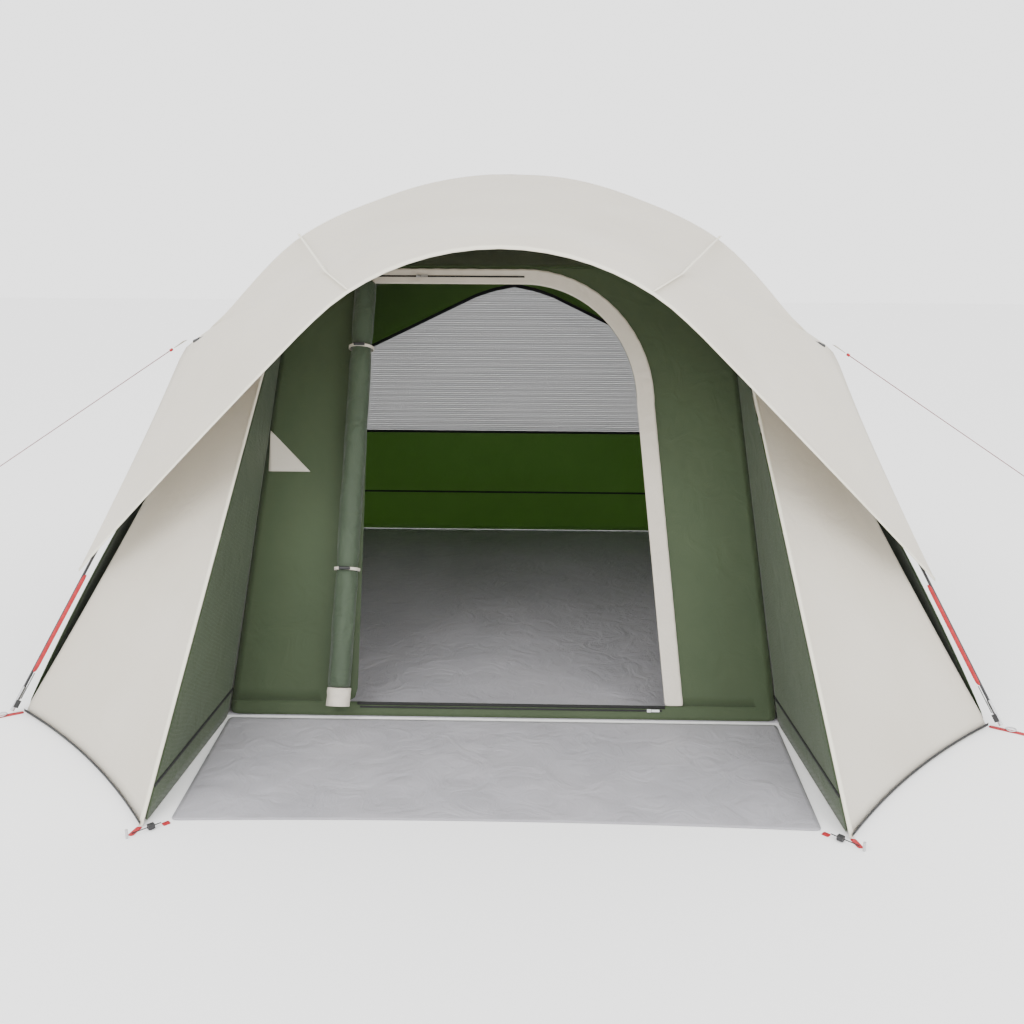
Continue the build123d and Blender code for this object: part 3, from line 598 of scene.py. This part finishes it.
def tape(name, line, width, material, push=Vector((0, 0, 0.0012)), across=None):
    """A flat tape following a line lying on cloth."""
    smooth_line = [along_line(line, i / 60) for i in range(61)]
    rows = []
    for offset in (-0.5, 0.0, 0.5):
        row = []
        for i, p in enumerate(smooth_line):
            ahead = smooth_line[min(i + 1, 60)] - smooth_line[max(i - 1, 0)]
            sideways = Vector(across) if across else ahead.cross(Vector((0, 0, 1)))
            row.append(p + push + sideways.normalized() * offset * width)
        rows.append(row)
    obj = paint(cloth(name, [rows], thick=0.001, smooth=0), material)
    lay_sheet(obj)
    return obj


tape("hood_hem_tape", hood_hem_line, 0.012, PIPING, Vector((0, -0.001, 0.001)), (0, 0.35, 1))
tape("back_hem_tape", back_hem_line, 0.012, PIPING, Vector((0, 0.001, 0.001)), (0, -0.35, 1))
for name, side in (("left", -1), ("right", 1)):
    seam = [over_main(KINK_ALONG, side, -1), over_brow(HALF_BROW - 0.617, side), hem(side * 0.43, HOOD_HEM)]
    tape(f"corner_seam_{name}", [p + Vector((0, 0, 0.005)) for p in seam], 0.010, PIPING)


# ---- inner tent -----------------------------------------------------------------------------------
def on_wall(x, z, off=0.0):
    """A place on the front wall's outer face, or off it."""
    return Vector((x, -FOOT_Y + WALL_LEAN * z, z)) + OUT * off


def on_back(x, z):
    return Vector((x, FOOT_Y - WALL_LEAN * z - 0.001, z))


def wall_edge(z):
    return WALL_FOOT_X + (SHOULDER_X - WALL_FOOT_X) * z / SHOULDER_Z - 0.003


def body_edge(z):
    if z < KNEE_Z:
        return FOOT_X + (KNEE_X - FOOT_X) * z / KNEE_Z - 0.003
    return KNEE_X + (SHOULDER_X - KNEE_X) * (z - KNEE_Z) / (SHOULDER_Z - KNEE_Z) - 0.003


def segment(a, b, steps):
    return [(a[0] + (b[0] - a[0]) * i / steps, a[1] + (b[1] - a[1]) * i / steps) for i in range(steps)]


def arch(share, grow=0.0):
    """The door's round top corner, from its top at 1 to its right side at 0."""
    angle = share * pi / 2
    x = ARCH_END + (DOOR_SPRING_X + grow - ARCH_END) * cos(angle)
    return x, SPRING + (DOOR_TOP + grow * 0.85 - SPRING) * sin(angle)


edge_low, edge_spring = wall_edge(SILL), wall_edge(SPRING)
opening = segment((DOOR_LEFT, SILL), (DOOR_LEFT, DOOR_TOP), 18)
opening += segment((DOOR_LEFT, DOOR_TOP), (ARCH_END, DOOR_TOP), 10)
opening += [arch(1 - i / 16) for i in range(16)]
opening += segment((DOOR_SPRING_X, SPRING), (DOOR_RIGHT, SILL), 14) + [(DOOR_RIGHT, SILL)]
outside = segment((-edge_low, SILL), (-wall_edge(SHOULDER_Z), SHOULDER_Z), 18)
outside += segment((-wall_edge(SHOULDER_Z), SHOULDER_Z), (ARCH_END, SHOULDER_Z), 10)
outside += segment((ARCH_END, SHOULDER_Z), (wall_edge(SHOULDER_Z), SHOULDER_Z), 8)
outside += segment((wall_edge(SHOULDER_Z), SHOULDER_Z), (edge_spring, SPRING), 8)
outside += segment((edge_spring, SPRING), (edge_low, SILL), 14) + [(edge_low, SILL)]
door_frame = plain_grid([on_wall(*p, -0.001) for p in opening], [on_wall(*p, -0.001) for p in outside], 8)
sill_grid = plain_grid([on_wall(-edge_low + 2 * edge_low * i / 40, 0.004, -0.001) for i in range(41)],
                       [on_wall(-edge_low + 2 * edge_low * i / 40, SILL, -0.001) for i in range(41)], 2)
wall_grids = [door_frame, sill_grid]
front_wall = paint(cloth("front_wall_cloth", wall_grids, wrinkle=0.0010, scale=5.0), GREEN)
door_outline = [(DOOR_LEFT, SILL), (DOOR_LEFT, DOOR_TOP), (ARCH_END, DOOR_TOP)]
door_outline += [arch(1 - i / 8) for i in range(1, 9)] + [(DOOR_RIGHT, SILL)]
lay_sheet(front_wall,
          replaces=["front_wall"])

STEPS = 24
for name, side in (("left", -1), ("right", 1)):
    def side_row(x, z):
        y = FOOT_Y - WALL_LEAN * z
        return [Vector((side * (x - 0.001), -y + 2 * y * i / STEPS, z)) for i in range(STEPS + 1)]

    rows = [side_row(FOOT_X, 0.004), side_row(KNEE_X, KNEE_Z), side_row(SHOULDER_X, SHOULDER_Z)]
    grids = [plain_grid(rows[0], rows[1], 14, bow=0.028), plain_grid(rows[1], rows[2], 7, bow=0.012)]
    wall = paint(cloth(f"side_wall_cloth_{name}", grids, wrinkle=0.003, scale=3.5), GREEN)
    lay_sheet(wall,
              replaces=[f"side_wall_{name}"])

ring = [Vector((-SHOULDER_X, -SHOULDER_Y, SHOULDER_Z)), Vector((SHOULDER_X, -SHOULDER_Y, SHOULDER_Z)),
        Vector((SHOULDER_X, SHOULDER_Y, SHOULDER_Z)), Vector((-SHOULDER_X, SHOULDER_Y, SHOULDER_Z)),
        Vector((-SHOULDER_X, -SHOULDER_Y, SHOULDER_Z))]
roof_rim = [along_line(ring, i / 64) + Vector((0, 0, 0.002)) for i in range(65)]
inner_roof_grid = plain_grid(roof_rim, [Vector((0, 0, ROOF_TOP + 0.001))] * 65, 12)
inner_roof = paint(cloth("inner_roof_cloth", [inner_roof_grid], wrinkle=0.002), GREEN)
lay_sheet(inner_roof, replaces=["inner_roof"])

MESH_LOW = 0.62
low_line = [on_back(-body_edge(0.004) + 2 * body_edge(0.004) * i / 32, 0.004) for i in range(33)]
mid_line = [on_back(-body_edge(MESH_LOW) + 2 * body_edge(MESH_LOW) * i / 32, MESH_LOW) for i in range(33)]
band = plain_grid(low_line, mid_line, 10)
# The lower band of the back wall carries the painted light of the brighter back-wall green.
back_wall = paint(cloth("back_wall_cloth", [band], wrinkle=0.003, scale=3.0), GREEN_BACK_PAINTED_LIGHT)
lay_sheet(back_wall,
          replaces=["back_wall"])
peak = [(-1.28, 0.70), (-0.81, 1.05), (-0.146, 1.37), (0.0, 1.40), (0.146, 1.37), (0.81, 1.05), (1.28, 0.70)]
peak_line = [along_line([on_back(*p) for p in peak], i / 32) for i in range(33)]
window_grid = plain_grid(mid_line, peak_line, 8)
window = paint(cloth("back_window_netting", [window_grid], thick=0.0006, smooth=0), NETTING)
lay_sheet(window,
          replaces=["back_mesh"])
rim = [(-body_edge(0.70), 0.70), (-body_edge(KNEE_Z), KNEE_Z), (-body_edge(SHOULDER_Z), SHOULDER_Z)]
rim += [(-x, z) for x, z in rim[::-1]]
top_line = [along_line([on_back(*p) for p in rim], i / 32) for i in range(33)]
upper_grid = plain_grid(peak_line, top_line, 6)
# The upper back wall also carries the painted light of the brighter back-wall green.
upper = paint(cloth("back_wall_upper_cloth", [upper_grid], wrinkle=0.002), GREEN_BACK_PAINTED_LIGHT)
lay_sheet(upper,
          replaces=["back_mesh"])
inside = Vector((0, -0.0022, 0))
tape("window_edge_tape", peak_line, 0.018, BLACK_TAPE, inside, (0, -WALL_LEAN, 1))
tape("window_sill_tape", mid_line, 0.016, BLACK_TAPE, inside, (0, -WALL_LEAN, 1))
seam_line = [on_back(-body_edge(0.25) + 2 * body_edge(0.25) * i / 32, 0.25) for i in range(33)]
tape("back_wall_seam", seam_line, 0.012, BLACK_TAPE, inside, (0, -WALL_LEAN, 1))


def floor_grid(corners, across, deep, lift, hollow=0.0):
    """A sheet on the ground between four corners. hollow draws its front edge in."""
    a, b, c, d = (Vector((*p, lift)) for p in corners)
    grid = []
    for j in range(deep + 1):
        low, high = a.lerp(d, j / deep), b.lerp(c, j / deep)
        row = []
        for i in range(across + 1):
            t = i / across
            p = low.lerp(high, t)
            p.y += hollow * 4 * t * (1 - t) * (1 - j / deep)
            row.append(p)
        grid.append(row)
    return grid


floor_corners = [(-FOOT_X, -FOOT_Y), (FOOT_X, -FOOT_Y), (FOOT_X, FOOT_Y), (-FOOT_X, FOOT_Y)]
floor_grids = [floor_grid(floor_corners, 60, 44, 0.0022)]
for side in (-1, 1):
    step = (FOOT_X - WALL_FOOT_X) / 12
    rim = [Vector((side * (WALL_FOOT_X + step * i), -FOOT_Y, 0.0022)) for i in range(13)]
    wing_floor = plain_grid(rim, [Vector((side * WING_X, WING_Y, 0.0022))] * 13, 10)
    for j, row in enumerate(wing_floor):
        for i, p in enumerate(row):
            p += Vector((-side, 0.9, 0)).normalized() * 0.034 * 4 * (j / 10) * (1 - j / 10) * (i / 12) ** 2
    floor_grids.append(wing_floor)
ground = paint(cloth("groundsheet_cloth", floor_grids, wrinkle=0.0009, scale=7.0), GREY)
lay_sheet(ground,
          replaces=["groundsheet"])
mat_corners = [(-MAT_FRONT_X, -1.88), (MAT_FRONT_X, -1.88), (MAT_BACK_X, -1.236), (-MAT_BACK_X, -1.236)]
mat_grid = floor_grid(mat_corners, 64, 26, 0.0022, MAT_DIP)
mat = paint(cloth("porch_mat_cloth", [mat_grid], wrinkle=0.0009, scale=8.0), GREY)
lay_sheet(mat, replaces=["porch_mat"])

# ---- wings beside the porch -----------------------------------------------------------------------
for name, side in (("left", -1), ("right", 1)):
    foot = Vector((side * (FOOT_X - 0.002), -FOOT_Y - 0.007, 0.004))
    tip = Vector((side * WING_X, WING_Y, 0.004))
    apex = Vector((side * (SHOULDER_X + 0.008), -SHOULDER_Y - 0.015, SHOULDER_Z * 0.985))
    inward = Vector((-side, 0.9, 0)).normalized()
    knee = Vector((side * (KNEE_X - 0.002), -FOOT_Y + WALL_LEAN * KNEE_Z - 0.009, KNEE_Z))
    low = [foot.lerp(tip, i / 24) + inward * 0.034 * 4 * (i / 24) * (1 - i / 24) for i in range(25)]
    ridge_side = [low[-1].lerp(apex, j / 24) for j in range(25)]
    outer_side = [along_line([foot, foot.lerp(knee, 0.5), knee, apex], j / 24) for j in range(25)]
    grid = []
    for j in range(25):
        pull = 4 * (j / 24) * (1 - j / 24)
        row = []
        for i, p in enumerate(low):
            t = i / 24
            q = outer_side[j].lerp(ridge_side[j], t)
            if j < 24:
                q += (p - foot.lerp(tip, t)) * (1 - j / 24) ** 2
            q += Vector((-side, -0.35, 0)).normalized() * 0.022 * pull * (1 - t) ** 3
            row.append(q)
        grid.append(row)
    outer_wing = paint(cloth(f"wing_outer_cloth_{name}", [grid], wrinkle=0.003, scale=4.0), CREAM)
    lay_sheet(outer_wing,
              replaces=[f"wing_outer_{name}"])
    inner_foot = Vector((side * (WALL_FOOT_X - 0.002), -FOOT_Y - 0.005, 0.004))
    inner_tip = Vector((side * (WING_X - 0.009), WING_Y, 0.004))
    inner_apex = Vector((side * (SHOULDER_X - 0.005), -SHOULDER_Y - 0.019, SHOULDER_Z * 0.985))
    low = [inner_foot.lerp(inner_tip, i / 16) for i in range(17)]
    grid_in = plain_grid(low, [inner_apex] * 17, 22)
    inner_wing = paint(cloth(f"wing_inner_cloth_{name}", [grid_in], wrinkle=0.002, scale=4.0), GREEN)
    lay_sheet(inner_wing,
              replaces=[f"wing_inner_{name}"])
    ridge = [tip.lerp(apex, i / 30) + Vector((-side * 0.002, -0.004, 0)) for i in range(31)]
    tape(f"wing_ridge_tape_{name}", ridge, 0.014, PIPING, Vector((0, 0, 0)), (side, 0.3, 0))
    off_wing = Vector((-side * 0.0022, 0, 0))
    seam = [inner_foot.lerp(inner_tip, i / 20).lerp(inner_apex, 0.055) + off_wing for i in range(21)]
    tape(f"wing_seam_{name}", seam, 0.010, BLACK_TAPE, Vector((0, 0, 0)), (0, 0, 1))
    hem_line = [p + Vector((0, -0.0022, 0.008)) for p in grid[0]]
    tape(f"wing_hem_tape_{name}", hem_line, 0.010, BLACK_TAPE, Vector((0, 0, 0)), (0, 0, 1))

# ---- door: gathered binding, rolled panel, sill tape and cable flap -------------------------------
band_in = segment((DOOR_LEFT, DOOR_TOP), (ARCH_END, DOOR_TOP), 48) + [arch(1 - i / 80) for i in range(80)]
band_in += segment((DOOR_SPRING_X, SPRING), (DOOR_RIGHT, SILL), 88) + [(DOOR_RIGHT, SILL)]
top_out = DOOR_TOP + BINDING * 0.85
band_out = segment((DOOR_LEFT, top_out), (ARCH_END, top_out), 48)
band_out += [arch(1 - i / 80, BINDING) for i in range(80)]
band_out += segment((DOOR_SPRING_X + BINDING, SPRING), (DOOR_RIGHT + BINDING, SILL), 88)
band_out += [(DOOR_RIGHT + BINDING, SILL)]
binding_line = lengths_of([on_wall(*p) for p in band_in])
binding_grid = plain_grid([on_wall(*p, 0.0016) for p in band_in], [on_wall(*p, 0.0016) for p in band_out], 4)
for row_index, row in enumerate(binding_grid):
    for i, p in enumerate(row):
        run = binding_line * i / (len(row) - 1)
        looseness = (row_index / 4) ** 1.5
        p += OUT * (GATHER_RISE * looseness * (1 + sin(2 * pi * run / GATHER_PITCH + 0.5 * row_index)))
binding = paint(cloth("door_binding_cloth", [binding_grid], thick=0.001), CREAM_TAPE)
lay_sheet(binding, replaces=["door_binding"])
sill_line = [on_wall(DOOR_LEFT, SILL - 0.005, 0.002), on_wall(DOOR_RIGHT, SILL - 0.005, 0.002)]
tape("door_sill_tape", sill_line, 0.010,
     BLACK_TAPE, OUT * 0.0, UP_WALL)

roll_low, roll_high = on_wall(-0.555, 0.092, 0.05), on_wall(-0.515, 1.425, 0.05)
roll_axis = (roll_high - roll_low).normalized()
roll_across = roll_axis.cross(OUT).normalized()
roll_out = roll_across.cross(roll_axis).normalized()


def roll_mesh(name, low, high, radius, folds, ties, material, replaced):
    """A loosely rolled length of cloth, drawn in where it is tied, with its wound ends closed."""
    rings, around = 72, 40
    grid = []
    for j in range(rings + 1):
        t = j / rings
        centre = low.lerp(high, t)
        pinch = sum(0.10 * 2.718 ** (-((t - tie) / 0.02) ** 2) for tie in ties)
        row = []
        for i in range(around + 1):
            angle = 2 * pi * (i % around) / around
            crease = noise.noise(Vector((cos(angle) * 1.5, sin(angle) * 1.5, t * folds)))
            r = radius * (1 - pinch) * (0.93 + 0.07 * crease)
            row.append(centre + roll_across * cos(angle) * r + roll_out * sin(angle) * r)
        grid.append(row)
    first, last = grid[0], grid[-1]
    for scale in (0.72, 0.45, 0.12):
        grid.insert(0, [low + (p - low) * scale + roll_axis * 0.006 * (1 - scale) for p in first])
        grid.append([high + (p - high) * scale - roll_axis * 0.006 * (1 - scale) for p in last])
    obj = paint(cloth(name, [grid], thick=0.0012, smooth=1), material)
    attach(obj, "tent")
    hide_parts(replaced)
    return obj


# The rolled door carries the darker green of painted shade.
roll_mesh("door_roll_cloth", roll_low, roll_high, 0.041, 16, (0.28, 0.83), GREEN_ROLL_PAINTED_SHADE, "rolled_door")
roll_mesh("door_roll_hem_cloth", roll_low - roll_axis * 0.062, roll_low - roll_axis * 0.0005, 0.0425, 3, (),
          CREAM_TAPE, "rolled_door_hem")

flap = [(-0.848, 0.790), (-0.698, 0.790), (-0.848, 0.928)]
flap_low = [on_wall(flap[0][0] + (flap[1][0] - flap[0][0]) * i / 10, flap[0][1], 0.0016) for i in range(11)]
flap_grid = plain_grid(flap_low, [on_wall(*flap[2], 0.0016)] * 11, 8)
flap_cloth = paint(cloth("cable_flap_cloth", [flap_grid], thick=0.0012, smooth=0), CREAM)
lay_sheet(flap_cloth,
          body="cable_flap", replaces=["cable_flap"])

# ---- tabs ------------------------------------------------------------------------------------------
for name, side in (("left", -1), ("right", 1)):
    along = Vector((side * cos(GUY_ANGLE), 0, -sin(GUY_ANGLE)))
    start = Vector((side * GUY_POINT[0], GUY_POINT[1], GUY_POINT[2])) + Vector((side * 0.006, 0, 0.001))
    wide = [start + Vector((0, 0.023 - 0.046 * i / 8, 0)) for i in range(9)]
    narrow = [start + along * 0.052 + Vector((0, 0.006 - 0.012 * i / 8, 0)) for i in range(9)]
    grid = plain_grid(wide, narrow, 8)
    tab = paint(cloth(f"guy_tab_cloth_{name}", [grid], thick=0.001, smooth=0), CREAM)
    lay_sheet(tab,
              replaces=["guy_tabs"])
    mat_corner, peg = Vector((side * 0.904, -1.882, 0.0009)), Vector((side * 0.999, -1.97, 0.0009))
    out = (peg - mat_corner).normalized()
    web, grid = ribbon(f"mat_tab_{name}", [mat_corner + out * 0.009, mat_corner + out * 0.03],
                       (-out.y, out.x, 0), 0.018, steps=4)
    lay_sheet(paint(web, RED_WEB), replaces=["mat_tabs"])
    at = Vector((side * WING_X, WING_Y - 0.003, 0.0009))
    loop_end = at + Vector((side * 0.01, -0.044, 0))
    web, grid = ribbon(f"peg_loop_{name}", [at, loop_end], (1, 0, 0), 0.016, steps=6)
    lay_sheet(paint(web, RED_WEB), replaces=["peg_loops"])

# ---- floor and light -------------------------------------------------------------------------------
bpy.ops.mesh.primitive_plane_add(size=60, location=(0, 0, 0))
ground_plane = bpy.context.object
ground_plane.name = "studio_floor"
ground_plane.location.z = -0.0005
floor_finish, nodes, links, shader = node_material("pale_floor")
shader.inputs["Base Color"].default_value = (0.93, 0.93, 0.93, 1)
shader.inputs["Roughness"].default_value = 0.85
paint(ground_plane, floor_finish)
world = bpy.data.worlds.new("studio")
world.use_nodes = True
world.node_tree.nodes["Background"].inputs["Color"].default_value = (1.0, 1.0, 1.0, 1)
world.node_tree.nodes["Background"].inputs["Strength"].default_value = 2.5
bpy.context.scene.world = world
LAMPS = (("key", (-3.5, -6, 5), (0, -0.3, 0.8), 4, 260), ("fill", (4.5, -5, 3.5), (0, 0, 0.7), 4, 150))
for name, place, aim, size, power in LAMPS:
    light = bpy.data.lights.new(name, "AREA")
    light.size, light.energy = size, power
    lamp = bpy.data.objects.new(name, light)
    lamp.location = place
    lamp.rotation_euler = (Vector(aim) - Vector(place)).to_track_quat("-Z", "Y").to_euler()
    bpy.context.scene.collection.objects.link(lamp)
